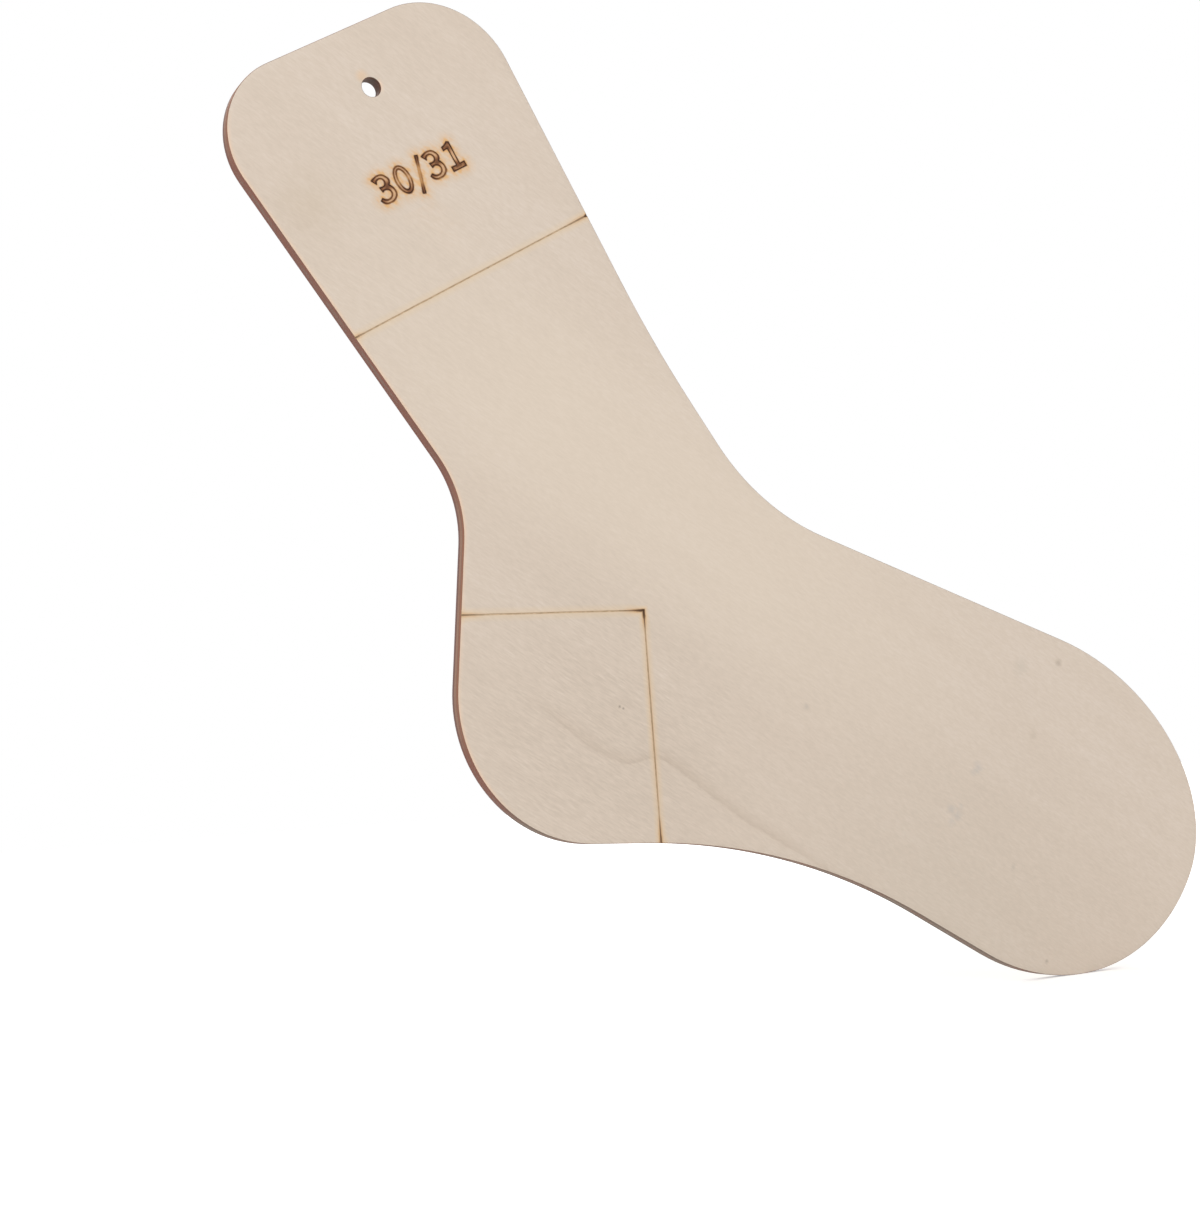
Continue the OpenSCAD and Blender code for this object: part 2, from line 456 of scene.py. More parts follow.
# %% Take the tubes out of the front veneer
def new_piece(name, mesh, materials):
    """An object at the origin from a bmesh."""
    piece = bpy.data.objects.new(name, bpy.data.meshes.new(name))
    mesh.to_mesh(piece.data)
    mesh.free()
    for material in materials:
        piece.data.materials.append(material)
    bpy.context.scene.collection.objects.link(piece)
    return piece


wood, wood_tree, wood_shader = new_material("sanded_basswood_veneer")
front_edge, front_edge_tree, front_edge_shader = new_material("laser_cut_front_edge")
groove, groove_tree, groove_shader = new_material("scored_basswood")
figure_burn, figure_tree, figure_shader = new_material("burnt_figure_groove")
front_materials = [wood, front_edge, groove, figure_burn]

front_piece = new_piece("front_veneer_burnt", front, front_materials)
figure_cutter = new_piece("figure_cutter", cutter, front_materials)
engrave = front_piece.modifiers.new("engrave", "BOOLEAN")
engrave.operation = "DIFFERENCE"
engrave.solver = "EXACT"
engrave.use_self = True
engrave.object = figure_cutter
engraved = mesh_of(front_piece)
front_piece.modifiers.clear()
front_piece.data = engraved
bpy.data.objects.remove(figure_cutter)
print("engraved front:", len(engraved.polygons), "faces,",
      sum(p.material_index == FIGURE for p in engraved.polygons), "of them in the figures")

back_wood, back_tree, back_shader = new_material("sanded_basswood_back")
back_edge, back_edge_tree, back_edge_shader = new_material("laser_cut_back_edge")
back_piece = new_piece("back_veneer_burnt", back, [back_wood, back_edge])

# %% [markdown]
# ## Measure how far each point is from a cut
# Toasting fades with distance, so each point of the faces stores how many millimetres away the
# nearest cut edge, scored line and figure groove are, and whether it lies inside a stroke. A BVH
# tree over the faces of one kind answers that at once, and the materials read the numbers as
# attributes. Two more numbers are about the beam and the light. Smoke went to one side and the
# light came from one side, so only rims that face that way get a peach rim, part toast and part
# painted highlight. And the beam slows down to turn, so it burns corners most, bends less and long
# straight runs least: each point stores how far the beam had run since it last slowed down.

# %% Store the distances
FAR = 2.5
smoke_and_light_way = Vector((-0.95, 0, -0.30))
SMOKE_AND_LIGHT_NONE, SMOKE_AND_LIGHT_FULL = 0.82, 0.96


def faces_of(mesh, kind):
    """A BVH tree over the faces of one kind, which finds the nearest place on them."""
    burnt = [[v.index for v in f.verts] for f in mesh.faces if f.material_index == kind]
    return BVHTree.FromPolygons([v.co for v in mesh.verts], burnt)


def store_distance(mesh, name, kind):
    """Write each point's distance to the faces of one kind, in millimetres."""
    near = faces_of(mesh, kind)
    layer = mesh.verts.layers.float.new(name)
    for v in mesh.verts:
        v[layer] = min(near.find_nearest(v.co)[3] / MM, FAR)
    print(name, "stored:", sum(v[layer] < FAR for v in mesh.verts), "points near the cut")


def store_smoke_and_light(mesh, name):
    """Write how much the nearest cut edge faces smoke and light, from 0 to 1: toast and painted
    highlight.
    """
    near = faces_of(mesh, CUT_EDGE)
    layer = mesh.verts.layers.float.new(name)
    for v in mesh.verts:
        out = near.find_nearest(v.co)[1] * Vector((1, 0, 1))
        facing = out.normalized().dot(smoke_and_light_way.normalized())
        v[layer] = min(max((facing - SMOKE_AND_LIGHT_NONE) / (SMOKE_AND_LIGHT_FULL - SMOKE_AND_LIGHT_NONE), 0.0), 1.0)
    print(name, "stored:", sum(v[layer] > 0.5 for v in mesh.verts), "points in the smoke")


def store_inside(mesh, name, shape):
    """Write 1 to each point that lies on a flat shape, and 0 to the others."""
    near = BVHTree.FromBMesh(shape)
    layer = mesh.verts.layers.float.new(name)
    for v in mesh.verts:
        v[layer] = 1.0 if near.find_nearest(v.co)[3] < 10 * SNAP else 0.0
    print(name, "stored:", sum(v[layer] for v in mesh.verts), "points inside")


# %% Store the run of the beam
BEND_RUN, LONGEST_RUN = 1.2, 4.0
# The beam also slowed down where it started on the 0, and in the waist of each 3.
slow_places = [on_text_line(*place) for place in (
    (7.10, 0.28), (7.20, 0.98), (3.15, 3.42), (3.15 + SECOND_THREE, 3.42))]


def points_that_turn(least, most):
    """Points of the figures where the beam turns by an angle between two limits."""
    return [on_text_line(*loop[i]) for loops in figures for loop in loops for i in range(len(loop))
            if least < turn_at(loop, i) <= most]


def tree_of(points):
    """A KD tree, which finds the nearest of many points."""
    tree = KDTree(len(points))
    for i, point in enumerate(points):
        tree.insert(point, i)
    tree.balance()
    return tree


def store_run(mesh, name):
    """Write how far the beam had run since it slowed down. A bend counts as a short run."""
    corners = tree_of(points_that_turn(CORNER_TURN, math.pi) + slow_places)
    bends = tree_of(points_that_turn(BEND_TURN, CORNER_TURN))
    layer = mesh.verts.layers.float.new(name)
    for v in mesh.verts:
        v[layer] = min(corners.find(v.co)[2] / MM, BEND_RUN + bends.find(v.co)[2] / MM, LONGEST_RUN)
    print(name, "stored from", len(points_that_turn(CORNER_TURN, math.pi)), "corners")


# %% [markdown]
# ## A map for baking
# Baking paints each piece's patterns into one square picture. Unwrapping by itself would give the
# hidden inner face as much room as the front. So the pieces bring their own map: the outer face
# seen square on fills the picture, the cut edge is folded out round it, the figures are three times
# as large in an empty corner, and the hidden face is shrunk into another.

# %% Lay the map
MAP_SIDE, MAP_MARGIN = 231 * MM, 1.2 * MM
FIGURE_SCALE, HIDDEN_SCALE = 3.0, 0.17
figure_room = Vector((92 * MM, 0, -26 * MM))


def under_figures(face):
    """True for faces of the net and of the figures' grooves."""
    along, up = place_on_line(face.calc_center_median())
    return net_left < along < net_right and net_bottom < up < net_top


def lay_map(mesh, outer_y, inner_y):
    """Give a veneer its own map, under the name that the export looks for."""
    for old in mesh.loops.layers.uv.values():
        mesh.loops.layers.uv.remove(old)
    layer = mesh.loops.layers.uv.new("OFBake")
    enlarged = 0
    for face in mesh.faces:
        out = (face.normal * Vector((1, 0, 1))).normalized()
        figure_face = outer_y == front_y and not lies_at(face, inner_y) and under_figures(face)
        enlarged += figure_face
        for loop in face.loops:
            place = loop.vert.co
            if figure_face:
                along, up = place_on_line(place)
                in_net = Vector((along - net_left, 0, up - net_bottom)) * MM
                place = figure_room + in_net * FIGURE_SCALE
            elif face.material_index == CUT_EDGE:
                place = place + out * abs(place.y - outer_y)
            elif lies_at(face, inner_y):
                place = cad_low + (place - cad_low) * HIDDEN_SCALE
            loop[layer].uv = ((place.x - cad_low.x + MAP_MARGIN) / MAP_SIDE,
                              (place.z - cad_low.z + MAP_MARGIN) / MAP_SIDE)
    print("map laid over", len(mesh.faces), "faces,", enlarged, "of them enlarged")


# %% [markdown]
# ## Clear away the specks
# Where a tube crosses itself at a corner, the Boolean leaves a few specks, faces that hang on to
# nothing else. So points that lie together are merged, the faces are gathered into islands that
# share edges, and islands of only a few faces are deleted. That closes the mesh again.

# %% Delete small islands
SPECK_FACES = 12


def drop_specks(mesh):
    """Delete islands of a few faces. The grooves become triangles first."""
    bmesh.ops.remove_doubles(mesh, verts=mesh.verts, dist=SNAP)
    bmesh.ops.triangulate(mesh, faces=[f for f in mesh.faces if f.material_index == FIGURE])
    unseen, specks = set(mesh.faces), []
    while unseen:
        island = [unseen.pop()]
        for face in island:
            shared = [e for e in face.edges if len(e.link_faces) == 2]
            beside = {f for e in shared for f in e.link_faces} & unseen
            unseen -= beside
            island += beside
        if len(island) < SPECK_FACES:
            specks += island
    bmesh.ops.delete(mesh, geom=specks, context="FACES")
    print("loose faces taken out:", len(specks))


# %% Store the numbers and shade the pieces
SHARP_TURN = math.radians(25)


def shade(piece, mesh):
    """Write a bmesh back to its piece, smooth up to its sharp corners."""
    mesh.to_mesh(piece.data)
    mesh.free()
    piece.data.shade_smooth()
    piece.data.set_sharp_from_angle(angle=SHARP_TURN)


mesh = bmesh.new()
mesh.from_mesh(front_piece.data)
drop_specks(mesh)
store_distance(mesh, "edge_mm", CUT_EDGE)
store_distance(mesh, "score_mm", SCORE)
store_distance(mesh, "figure_mm", FIGURE)
store_smoke_and_light(mesh, "smoke_and_highlight")
store_inside(mesh, "stroke", strokes)
store_run(mesh, "run_mm")
lay_map(mesh, front_y, front_glue_y)
shade(front_piece, mesh)
strokes.free()

mesh = bmesh.new()
mesh.from_mesh(back_piece.data)
store_distance(mesh, "edge_mm", CUT_EDGE)
lay_map(mesh, back_y, back_glue_y)
shade(back_piece, mesh)

# %% [markdown]
# ## Basswood veneer
# Basswood is a pale, close-grained wood, peeled as veneer and sanded. Its pores are too fine to
# see: what shows is a faint streak along the fibres, here and there a growth line, and a few grey
# mineral flecks. The fibres run down to the right. A Mapping node of the Texture type turns the
# pattern to the grain, and its scale is simply the size of one fibre or streak in metres.

# %% Grain of bare wood
GRAIN_TURN = math.radians(33)
MEAN_TONE, FIBRE_SHARE = 0.38, 0.36
veneer_stops = [(0.18, "cfbfaf"), (0.38, "d9c9b9"), (0.58, "e2d4c7")]


def grain_streaks(tree, length_mm, width_mm, start_mm):
    """Noise drawn out along the grain: its streaks have the given size in millimetres."""
    place = add_node(tree, "TexCoord")
    turned = add_node(tree, "Mapping", {
        "Vector": place.outputs["Object"], "Location": (start_mm * MM, 0, 0),
        "Rotation": (0, GRAIN_TURN, 0), "Scale": (length_mm * MM, width_mm * MM, width_mm * MM)},
        vector_type="TEXTURE")
    return add_node(tree, "TexNoise", {
        "Vector": turned, "Scale": 1.0, "Detail": 2.0, "Roughness": 0.55})


def veneer_tone(tree, start_mm, streak_share, band_share):
    """Light and dark of bare wood, and its fibres. A real fibre is finer, but would not show."""
    fibre = grain_streaks(tree, 1.6, 0.34, start_mm)
    streak = grain_streaks(tree, 35, 5, start_mm + 300)
    band = grain_streaks(tree, 170, 30, start_mm + 700)
    tone = MEAN_TONE - (FIBRE_SHARE + streak_share + band_share) / 2
    for pattern, share in ((fibre, FIBRE_SHARE), (streak, streak_share), (band, band_share)):
        tone = add_node(tree, "Math", {0: pattern, 1: share, 2: tone}, operation="MULTIPLY_ADD")
    return tone, fibre


tone, fibre = veneer_tone(wood_tree, 0, 0.14, 0.10)
print("grain of the front has", len(wood_tree.nodes), "nodes")

# %% Lines torn by the knife, and painted shadow over the heel
# Round the heel the knife tore the veneer a little as it was peeled, and left fine lines. More of
# them are dark than pale, so the heel is darker as a whole: that darkening is painted shadow.
TORN_SHARE, TORN_AND_SHADOW_MIDDLE = 0.52, 0.64


def spot(tree, x, z, full_mm, end_mm, strength, ragged=0.0, wander_mm=0.0):
    """A soft round spot on the front at X and Z, in mm. It fades from one radius to another."""
    place = add_node(tree, "TexCoord")
    away = add_node(tree, "VectorMath", {
        0: place.outputs["Object"], 1: (x * MM, front_y, z * MM)}, operation="DISTANCE")
    uneven = add_node(tree, "Math", {
        0: ragged, 1: wander_mm * MM, 2: away.outputs["Value"]}, operation="MULTIPLY_ADD")
    return add_node(tree, "MapRange", {
        "Value": uneven, "From Min": full_mm * MM, "From Max": end_mm * MM,
        "To Min": strength, "To Max": 0.0}, interpolation_type="SMOOTHSTEP")


torn = grain_streaks(wood_tree, 2.6, 0.32, 1100)
# Taking more than the lines' mean off darkens the whole heel: painted shadow over it.
lines = add_node(wood_tree, "Math", {0: torn, 1: TORN_AND_SHADOW_MIDDLE}, operation="SUBTRACT")
heel_lines_and_shadow = spot(wood_tree, 38, -134, 8, 52, TORN_SHARE)
tone = add_node(wood_tree, "Math", {0: lines, 1: heel_lines_and_shadow, 2: tone}, operation="MULTIPLY_ADD")
colour = add_node(wood_tree, "ValToRGB", {"Fac": tone}, veneer_stops)
print("bare wood has", len(wood_tree.nodes), "nodes")

# %% [markdown]
# ## A pale band, one growth line and a few mineral marks
# A broad pale band of early wood runs along the grain from the leg over the instep. Across the
# heel one growth line shows: it runs along the grain, climbs a few millimetres and runs on. A
# colour ramp holds its course as greys, from the place along the grain to the place across it.
# The wood just above the line is a little darker, as late wood is. Small grey marks are soft
# spots with a ragged rim, each at its own place on the sheet.

# %% Pale band
BAND_MIDDLE, BAND_END, PALE_SHARE = -36, 195, 0.36
place = add_node(wood_tree, "TexCoord")
turned = add_node(wood_tree, "Mapping", {
    "Vector": place.outputs["Object"], "Rotation": (0, GRAIN_TURN, 0), "Scale": (MM, MM, MM)},
    vector_type="TEXTURE")
in_grain = add_node(wood_tree, "SeparateXYZ", {0: turned})
off_middle = add_node(wood_tree, "Math", {0: in_grain.outputs["Z"], 1: BAND_MIDDLE},
                      operation="SUBTRACT")
apart = add_node(wood_tree, "Math", {0: off_middle}, operation="ABSOLUTE")
across = add_node(wood_tree, "MapRange", {
    "Value": apart, "From Min": 4, "From Max": 36, "To Min": PALE_SHARE, "To Max": 0.0},
    interpolation_type="SMOOTHSTEP")
along = add_node(wood_tree, "MapRange", {
    "Value": in_grain.outputs["X"], "From Min": 0, "From Max": BAND_END})
fade = add_node(wood_tree, "ValToRGB", {"Fac": along}, [
    (0.0, 0), (0.3, 1), (0.65, 1), (1.0, 0)])
share = add_node(wood_tree, "Math", {0: across, 1: fade}, operation="MULTIPLY")
mix = add_node(wood_tree, "Mix", {0: share, 6: colour, 7: linear("e8d9c6")}, data_type="RGBA")
colour = mix.outputs[2]
print("pale band ends", BAND_END, "mm along the grain")

# %% Growth line
LINE_START, LINE_END, LINE_LOW, LINE_HIGH = 86, 162, -93, -84
LINE_WANDER = 1.3
line_course = ((88, -90.4), (97, -91.1), (104, -92.0), (111, -92.1), (115.5, -90.4), (118.2, -87.2),
               (121, -85.7), (127, -85.9), (134, -86.8), (142, -87.5), (150, -87.5), (158, -87.1))

along = add_node(wood_tree, "MapRange", {
    "Value": in_grain.outputs["X"], "From Min": LINE_START, "From Max": LINE_END})
course = add_node(wood_tree, "ValToRGB", {"Fac": along}, [
    ((u - LINE_START) / (LINE_END - LINE_START), (v - LINE_LOW) / (LINE_HIGH - LINE_LOW))
    for u, v in line_course])
course.color_ramp.interpolation = "B_SPLINE"
across = add_node(wood_tree, "MapRange", {
    "Value": course, "To Min": LINE_LOW, "To Max": LINE_HIGH})
off_line = add_node(wood_tree, "Math", {0: in_grain.outputs["Z"], 1: across}, operation="SUBTRACT")
ragged = grain_streaks(wood_tree, 1.6, 0.7, 40)
uneven = add_node(wood_tree, "Math", {0: ragged, 1: LINE_WANDER, 2: off_line},
                  operation="MULTIPLY_ADD")
above = add_node(wood_tree, "MapRange", {
    "Value": uneven, "From Min": LINE_WANDER / 2 - 1, "From Max": LINE_WANDER / 2 + 4})
late_wood = add_node(wood_tree, "ValToRGB", {"Fac": above}, [
    (0.10, 0), (0.20, 0.19), (0.30, 0.14), (0.42, 0.09), (0.52, 0.06), (0.75, 0)])
ends = add_node(wood_tree, "ValToRGB", {"Fac": along}, [
    (0.02, 0), (0.13, 0.7), (0.42, 1), (0.9, 0.9), (1.0, 0.6)])
share = add_node(wood_tree, "Math", {0: late_wood, 1: ends}, operation="MULTIPLY")
mix = add_node(wood_tree, "Mix", {0: share, 6: colour, 7: linear("8f7357")}, data_type="RGBA")
colour = mix.outputs[2]
print("growth line runs for", LINE_END - LINE_START, "mm along the grain")

# %% Mineral marks
# Each mark is: X and Z in mm, radius in mm, tint, and how strongly it shows. The last two are
# broad and faint: a yellower patch on the leg, and colour that is greyer and a little darker
# towards the sole.
MARK_FULL, MARK_END = 0.4, 1.5
marks = ((126.8, -153.4, 1.9, "9fa5ad", 0.20), (128.2, -154.9, 2.0, "9fa5ad", 0.22),
         (126.5, -156.2, 1.5, "9fa5ad", 0.16), (129.6, -153.0, 1.2, "9fa5ad", 0.13),
         (135.3, -144.5, 2.0, "a3a8b0", 0.22), (133.9, -145.6, 1.4, "a3a8b0", 0.15),
         (150.0, -122.5, 3.4, "a9a89c", 0.15), (161.0, -122.0, 1.5, "7c6a58", 0.30),
         (151.6, -138.4, 1.8, "9a8264", 0.12), (142.5, -167.5, 1.1, "8a8378", 0.18),
         (91.0, -129.0, 1.1, "8a8580", 0.25), (45.7, -126.8, 0.5, "5a4635", 0.60),
         (46.5, -127.2, 0.4, "5a4635", 0.50), (149.5, -189.3, 0.8, "6d5847", 0.35),
         (-14.5, -25.0, 11.0, "c4b197", 0.26), (118.0, -185.0, 60.0, "bab3a3", 0.17))
for x, z, radius, tint, strength in marks:
    share = spot(wood_tree, x, z, MARK_FULL * radius, MARK_END * radius, strength, ragged, radius)
    mix = add_node(wood_tree, "Mix", {0: share, 6: colour, 7: linear(tint)}, data_type="RGBA")
    colour = mix.outputs[2]
print(len(marks), "marks")

# %% [markdown]
# ## Wood toasted by the beam, and a painted highlight on the cut rim
# Heat turns the wood straw yellow, then tan, then brown, and it fades within a millimetre. The
# outline was cut quickly, so its rim is only peach, on one side, and lighter than the wood: part
# toast from the smoke, part painted highlight where the light falls. A scored line has a faint
# yellow seam, which is scorched where the beam started, stopped or turned. The slow figures are
# toasted most: the wood inside their strokes is tan, and brown at their corners. Puffs of smoke
# left a small stain beside the hanging hole and one between two figures.

# %% Toast beside the cut edge and the scored lines
# Each end is: X and Z in mm, how far its darkening reaches in mm, and how strong it is. The last
# is the slow middle of the upright heel line.
RAGGED_MM = 0.3
SCORCH_NONE, SCORCH_FULL = 0.74, 0.94
score_ends = ((46.6, -23.2, 8, 0.58), (46.6, -23.2, 1.7, 1.0), (53.0, -107.1, 6, 0.94),
              (11.8, -107.1, 6, 0.57), (53.0, -155.3, 8, 0.82), (-6.8, -51.6, 3, 0.6),
              (53.0, -131.0, 32, 0.26))


def dwell(tree):
    """How long the beam stayed, from 0 in the quick parts of the scored lines to 1."""
    longest = 0.0
    for x, z, reach, strength in score_ends:
        near = spot(tree, x, z, 0.3, reach, strength)
        longest = add_node(tree, "Math", {0: longest, 1: near}, operation="MAXIMUM")
    return longest


def toast(tree, colour, cut, ragged, tint, reach, strength=1.0):
    """Colour drawn toward a toasted tint near one kind of cut. reach holds (mm, share) stops."""
    stored = add_node(tree, "Attribute", attribute_name=cut)
    uneven = add_node(tree, "Math", {0: ragged, 1: RAGGED_MM, 2: stored.outputs["Fac"]},
                      operation="MULTIPLY_ADD")
    along = add_node(tree, "MapRange", {
        "Value": uneven, "From Min": RAGGED_MM / 2, "From Max": FAR + RAGGED_MM / 2})
    near = add_node(tree, "ValToRGB", {"Fac": along},
                    [(mm / FAR, share) for mm, share in reach])
    share = add_node(tree, "Math", {0: near, 1: strength}, operation="MULTIPLY")
    mix = add_node(tree, "Mix", {0: share, 6: colour, 7: linear(tint)}, data_type="RGBA")
    return mix.outputs[2]


# Rims that face one way get a peach tint lighter than the wood: part toast, part painted highlight.
smoke_and_highlight = add_node(wood_tree, "Attribute", attribute_name="smoke_and_highlight")
colour = toast(wood_tree, colour, "edge_mm", ragged, "edcdb2",
               ((0, 0.85), (0.25, 0.6), (0.45, 0.25), (0.9, 0)), smoke_and_highlight.outputs["Fac"])
colour = toast(wood_tree, colour, "score_mm", ragged, "e1c7a2",
               ((0, 0.45), (0.25, 0.38), (0.8, 0.2), (1.4, 0)))
stay = dwell(wood_tree)
colour = toast(wood_tree, colour, "score_mm", ragged, "e6c294",
               ((0, 0.6), (0.5, 0.38), (1.2, 0)), stay)
colour = toast(wood_tree, colour, "score_mm", ragged, "c28f52",
               ((0, 0.8), (0.2, 0.45), (0.5, 0)), stay)
scorched = add_node(wood_tree, "MapRange", {
    "Value": stay, "From Min": SCORCH_NONE, "From Max": SCORCH_FULL})
colour = toast(wood_tree, colour, "score_mm", ragged, "4e2e12",
               ((0, 0.95), (0.1, 0.7), (0.22, 0)), scorched)
print("scored lines are darker at", len(score_ends), "places")

# %% Toast round and inside the figures
# The smoke round the figures is smudged: none where the noise is under a quarter.
smudges = grain_streaks(wood_tree, 1.5, 0.8, 600)
smudged = add_node(wood_tree, "Math", {0: smudges, 1: 4.0, 2: -1.0}, operation="MULTIPLY_ADD")
colour = toast(wood_tree, colour, "figure_mm", ragged, "dfb17a",
               ((0, 0.8), (0.5, 0.52), (0.75, 0.4), (1.1, 0.24), (1.55, 0.12), (2.4, 0)), smudged)
run = add_node(wood_tree, "Attribute", attribute_name="run_mm")
run_share = add_node(wood_tree, "Math", {0: run.outputs["Fac"], 1: LONGEST_RUN}, operation="DIVIDE")
stroke_tint = add_node(wood_tree, "ValToRGB", {"Fac": run_share}, [
    (0.0, "5f391d"), (0.1, "6c4323"), (0.15, "90623c"), (0.21, "b18157"), (0.33, "d5aa81")])
inside = add_node(wood_tree, "Attribute", attribute_name="stroke")
mix = add_node(wood_tree, "Mix", {0: inside.outputs["Fac"], 6: colour, 7: stroke_tint},
               data_type="RGBA")
slow = add_node(wood_tree, "ValToRGB", {"Fac": run_share}, [
    (0.0, 1.0), (0.3, 0.8), (0.55, 0.4), (0.8, 0.3)])
colour = toast(wood_tree, mix.outputs[2], "figure_mm", ragged, "7a451f",
               ((0, 0.9), (0.1, 0.45), (0.2, 0)), slow)
print("figures are brown at their corners and tan on runs of", LONGEST_RUN, "mm")

# %% Smoke stains and finish of the front
# Each stain is: X and Z in mm, the radii where it starts to fade and ends, and its strength.
WOOD_IOR = 1.45
FIBRE_DEPTH = 0.03
stains = ((-1.9, 2.1, 0.3, 1.9, 0.42), (8.5, -19.2, 0.3, 1.5, 0.35))
for x, z, full_mm, end_mm, strength in stains:
    share = spot(wood_tree, x, z, full_mm, end_mm, strength)
    outside = add_node(wood_tree, "Math", {0: 1.0, 1: inside.outputs["Fac"]}, operation="SUBTRACT")
    share = add_node(wood_tree, "Math", {0: share, 1: outside}, operation="MULTIPLY")
    mix = add_node(wood_tree, "Mix", {0: share, 6: colour, 7: linear("e6bd90")}, data_type="RGBA")
    colour = mix.outputs[2]


def finish_wood(tree, shader, colour, height, strength, depth_mm, roughness):
    """Give a wood its colour, its fine relief and its dull shine."""
    tree.links.new(colour, shader.inputs["Base Color"])
    relief = add_node(tree, "Bump", {
        "Height": height, "Strength": strength, "Distance": depth_mm * MM})
    tree.links.new(relief.outputs[0], shader.inputs["Normal"])
    shader.inputs["Roughness"].default_value = roughness
    shader.inputs["IOR"].default_value = WOOD_IOR


finish_wood(wood_tree, wood_shader, colour, fibre, 0.2, FIBRE_DEPTH, 0.62)
print("front wood has", len(wood_tree.nodes), "nodes")

# %% The back, where smoke spreads a little wider
tone, fibre = veneer_tone(back_tree, 1500, 0.26, 0.30)
colour = add_node(back_tree, "ValToRGB", {"Fac": tone}, veneer_stops)
ragged = grain_streaks(back_tree, 2.5, 1.2, 90)
colour = toast(back_tree, colour, "edge_mm", ragged, "d9b88f",
               ((0, 0.9), (0.3, 0.6), (0.8, 0.2), (1.5, 0)))
finish_wood(back_tree, back_shader, colour, fibre, 0.2, FIBRE_DEPTH, 0.65)
print("back wood has", len(back_tree.nodes), "nodes")

# %% [markdown]
# ## The cut edge
# The beam melts and browns the wood as it goes through, and its pulses leave fine lines across
# the thickness. Where it cuts the fibres off, the end grain takes more heat and goes darker than
# where it runs along them. The two faces and the core have their grain crosswise, so at most
# places one of them is darker. The back edge is greyer with soot, the glue lines char to a thin
# dark line, and the small hole, where the beam hardly moves, is the darkest. A jet of air keeps the
# cut clear, and the straight back of the leg, which faces it, is redder than the rest.

# %% Edge materials
PULSE, PATCH = 0.22, 7.0
END_SHARE, PULSE_SHARE, PATCH_SHARE = 0.55, 0.30, 0.40
jet_way = Vector((-0.83, 0, -0.56)).normalized()
JET_NONE, JET_FULL, JET_SHARE = 0.92, 0.985, 0.42
HOLE_R, HOLE_SHARE = 2.0, 0.7


def edge_noise(tree, place, along_mm, through_mm, detail):
    """Noise of one size along the cut edge and another through the sheet, in millimetres."""
    sized = add_node(tree, "Mapping", {
        "Vector": place.outputs["Object"],
        "Scale": (along_mm * MM, through_mm * MM, along_mm * MM)}, vector_type="TEXTURE")
    return add_node(tree, "TexNoise", {"Vector": sized, "Scale": 1.0, "Detail": detail})


def charred_edge(tree, shader, stops, grain_turn):
    """Browned wood. The stops go from a cut along the fibres, 0, to one across them, 1."""
    place = add_node(tree, "TexCoord")
    facing = add_node(tree, "NewGeometry")
    fibres = (math.cos(grain_turn), 0, -math.sin(grain_turn))
    cut_across = add_node(tree, "VectorMath", {0: facing.outputs["Normal"], 1: fibres},
                          operation="DOT_PRODUCT")
    end_grain = add_node(tree, "Math", {0: cut_across.outputs["Value"]}, operation="ABSOLUTE")
    pulses = edge_noise(tree, place, PULSE, 4.0, 2.0)
    patches = edge_noise(tree, place, PATCH, 1.2, 3.0)
    char = 0.0
    for pattern, share in ((end_grain, END_SHARE), (pulses, PULSE_SHARE), (patches, PATCH_SHARE)):
        char = add_node(tree, "Math", {0: pattern, 1: share, 2: char}, operation="MULTIPLY_ADD")
    brown = add_node(tree, "ValToRGB", {"Fac": char}, stops)
    into_jet = add_node(tree, "VectorMath", {0: facing.outputs["Normal"], 1: jet_way},
                        operation="DOT_PRODUCT")
    jet_share = add_node(tree, "MapRange", {
        "Value": into_jet.outputs["Value"], "From Min": JET_NONE, "From Max": JET_FULL,
        "To Min": 0.0, "To Max": JET_SHARE})
    redder = add_node(tree, "Mix", {0: jet_share, 6: brown, 7: linear("834030")}, data_type="RGBA")
    flat = add_node(tree, "VectorMath", {0: place.outputs["Object"], 1: (1, 0, 1)},
                    operation="MULTIPLY")
    from_hole = add_node(tree, "VectorMath", {0: flat}, operation="LENGTH")
    hole_share = add_node(tree, "MapRange", {
        "Value": from_hole.outputs["Value"], "From Min": 1.25 * HOLE_R * MM,
        "From Max": 2 * HOLE_R * MM, "To Min": HOLE_SHARE, "To Max": 0.0})
    darkest = add_node(tree, "Mix", {
        0: hole_share, 6: redder.outputs[2], 7: linear("4a2f22")}, data_type="RGBA")
    finish_wood(tree, shader, darkest.outputs[2], pulses, 0.4, 0.05, 0.7)


charred_edge(front_edge_tree, front_edge_shader,
             [(0.38, "7b695c"), (0.62, "926452"), (0.95, "9d6c51")], GRAIN_TURN)
charred_edge(back_edge_tree, back_edge_shader,
             [(0.38, "77685d"), (0.62, "7e5648"), (0.95, "755650")], GRAIN_TURN)
core_edge, core_tree, core_shader = new_material("laser_cut_core_edge")
charred_edge(core_tree, core_shader,
             [(0.55, "a07a66"), (0.84, "8c6250"), (0.90, "8b7a6d")], GRAIN_TURN + math.radians(90))
glue, glue_tree, glue_shader = new_material("charred_glue_line")
charred_edge(glue_tree, glue_shader,
             [(0.38, "5e4237"), (0.62, "553a30"), (0.95, "4a3228")], GRAIN_TURN)
glue_shader.inputs["Roughness"].default_value = 0.5
print("four edge materials made")

# %% [markdown]
# ## Scored lines and figures
# At low power the beam only toasts the top of the veneer: the scored lines are tan, uneven with
# the grain, and darker where the beam started, stopped or turned. The figures were cut slowly and
# are dark brown, apart from the long slash, which the beam ran through faster.

# %% Scored lines
# Each line is a place on its middle, as X and Z in mm, and the way across it.
WAVER = 0.25 * MM
cuff_middle, heel_corner = (19.906, -37.437), (52.965, -107.067)
score_lines = ((cuff_middle, text_up), (heel_corner, Vector((0, 0, 1))),
               (heel_corner, Vector((1, 0, 0))))

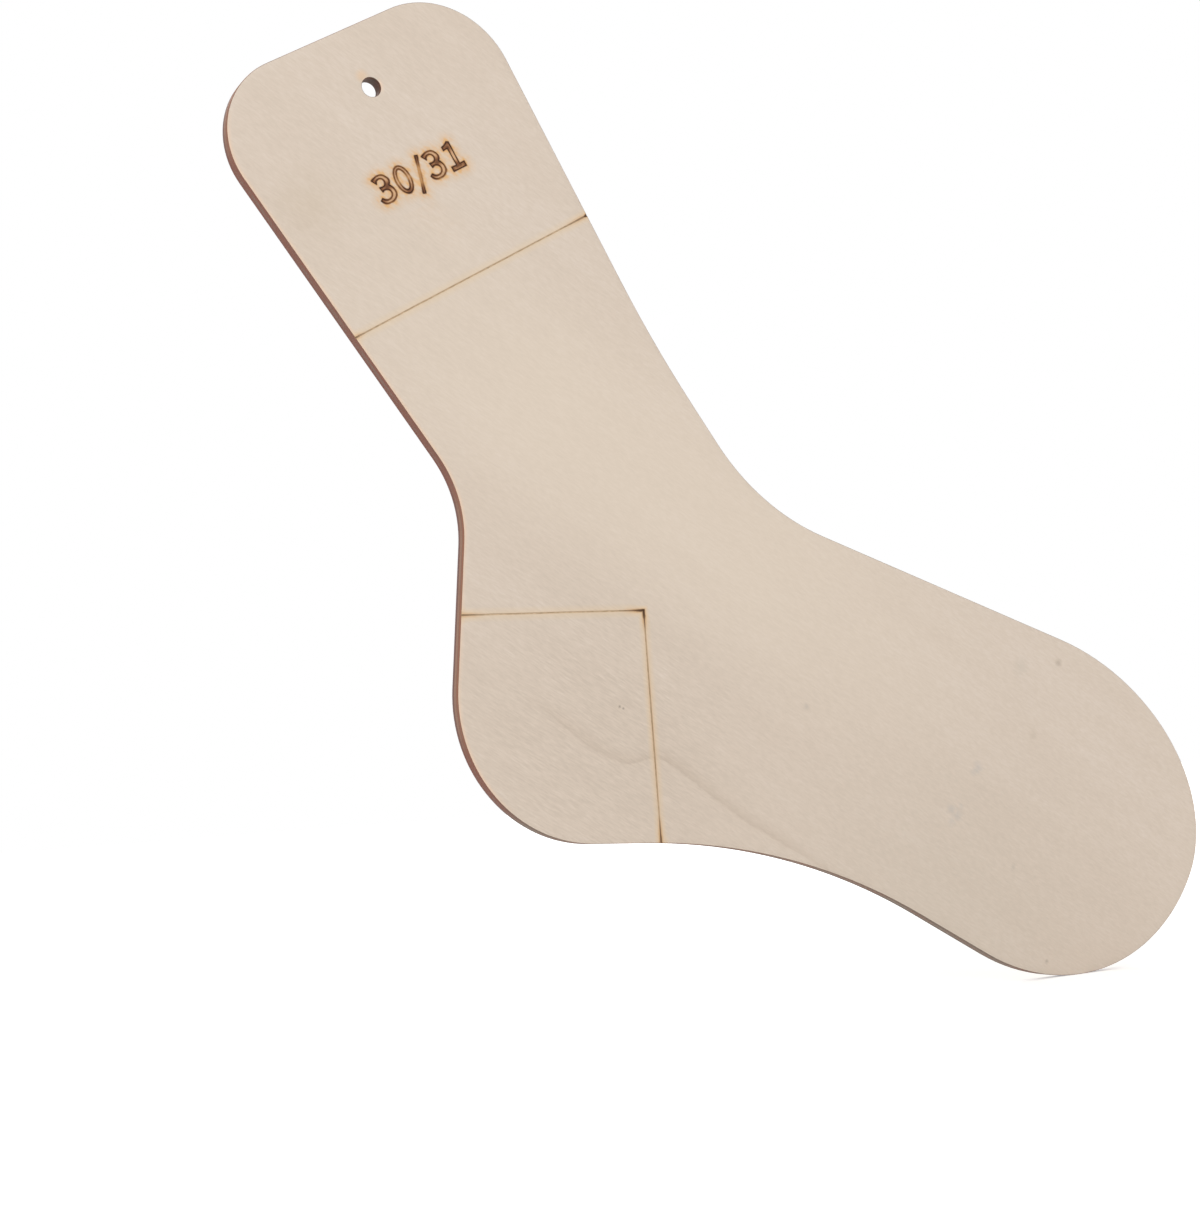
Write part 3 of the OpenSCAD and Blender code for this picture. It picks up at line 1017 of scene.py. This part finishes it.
place = add_node(groove_tree, "TexCoord")
waver = add_node(groove_tree, "TexNoise", {
    "Vector": place.outputs["Object"], "Scale": 1 / (2.5 * MM), "Detail": 1.0})
wavering = add_node(groove_tree, "VectorMath", {
    0: waver.outputs["Color"], 1: (WAVER, WAVER, WAVER), 2: place.outputs["Object"]},
    operation="MULTIPLY_ADD")
off_middle = 1.0
for (x, z), across in score_lines:
    middle = (x * MM + WAVER / 2, 0, z * MM + WAVER / 2)
    way = add_node(groove_tree, "VectorMath", {0: wavering, 1: middle}, operation="SUBTRACT")
    side = add_node(groove_tree, "VectorMath", {0: way, 1: across}, operation="DOT_PRODUCT")
    apart = add_node(groove_tree, "Math", {0: side.outputs["Value"]}, operation="ABSOLUTE")
    off_middle = add_node(groove_tree, "Math", {0: off_middle, 1: apart}, operation="MINIMUM")
in_middle = add_node(groove_tree, "MapRange", {
    "Value": off_middle, "From Min": 0.03 * MM, "From Max": 0.16 * MM,
    "To Min": 1.0, "To Max": 0.0})
dashes = add_node(groove_tree, "TexNoise", {
    "Vector": place.outputs["Object"], "Scale": 1 / (1.2 * MM), "Detail": 3.0})
tan = add_node(groove_tree, "ValToRGB", {"Fac": dashes}, [
    (0.35, "d8bfa0"), (0.65, "b39a7c")])
mix = add_node(groove_tree, "Mix", {0: in_middle, 6: linear("d8c1a4"), 7: tan}, data_type="RGBA")
colour = mix.outputs[2]
slowed = dwell(groove_tree)
dark = add_node(groove_tree, "ValToRGB", {"Fac": slowed}, [
    (0.68, "764a1e"), (SCORCH_FULL, "482a12")])
mix = add_node(groove_tree, "Mix", {0: slowed, 6: colour, 7: dark}, data_type="RGBA")
groove_tree.links.new(mix.outputs[2], groove_shader.inputs["Base Color"])
print("scored lines waver by", WAVER / MM, "mm")

# %% Figures
GROOVE_ROUGHNESS = 0.75
run = add_node(figure_tree, "Attribute", attribute_name="run_mm")
run_share = add_node(figure_tree, "Math", {0: run.outputs["Fac"], 1: LONGEST_RUN},
                     operation="DIVIDE")
brown = add_node(figure_tree, "ValToRGB", {"Fac": run_share}, [
    (0.0, "3c200e"), (0.1, "452711"), (0.3, "6a4022"), (0.45, "93663b"), (0.58, "bf905b"),
    (0.8, "cda06a")])
figure_tree.links.new(brown.outputs[0], figure_shader.inputs["Base Color"])
for shader in (groove_shader, figure_shader):
    shader.inputs["Roughness"].default_value = GROOVE_ROUGHNESS
    shader.inputs["IOR"].default_value = WOOD_IOR
print("groove materials made")

# %% [markdown]
# ## Put the pieces together
# The two burnt veneers stand for their CAD nodes, and the core and the glue lines stay as the CAD
# made them, with their own edge materials.

# %% Assign, ride and finish
for piece, node in ((front_piece, "front_veneer"), (back_piece, "back_veneer")):
    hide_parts(node)
    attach(piece, "root")
cad_looks = (("core_veneer", core_edge), ("front_glue_line", glue), ("back_glue_line", glue))
for node, material in cad_looks:
    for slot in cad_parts[node].material_slots:
        slot.material = material
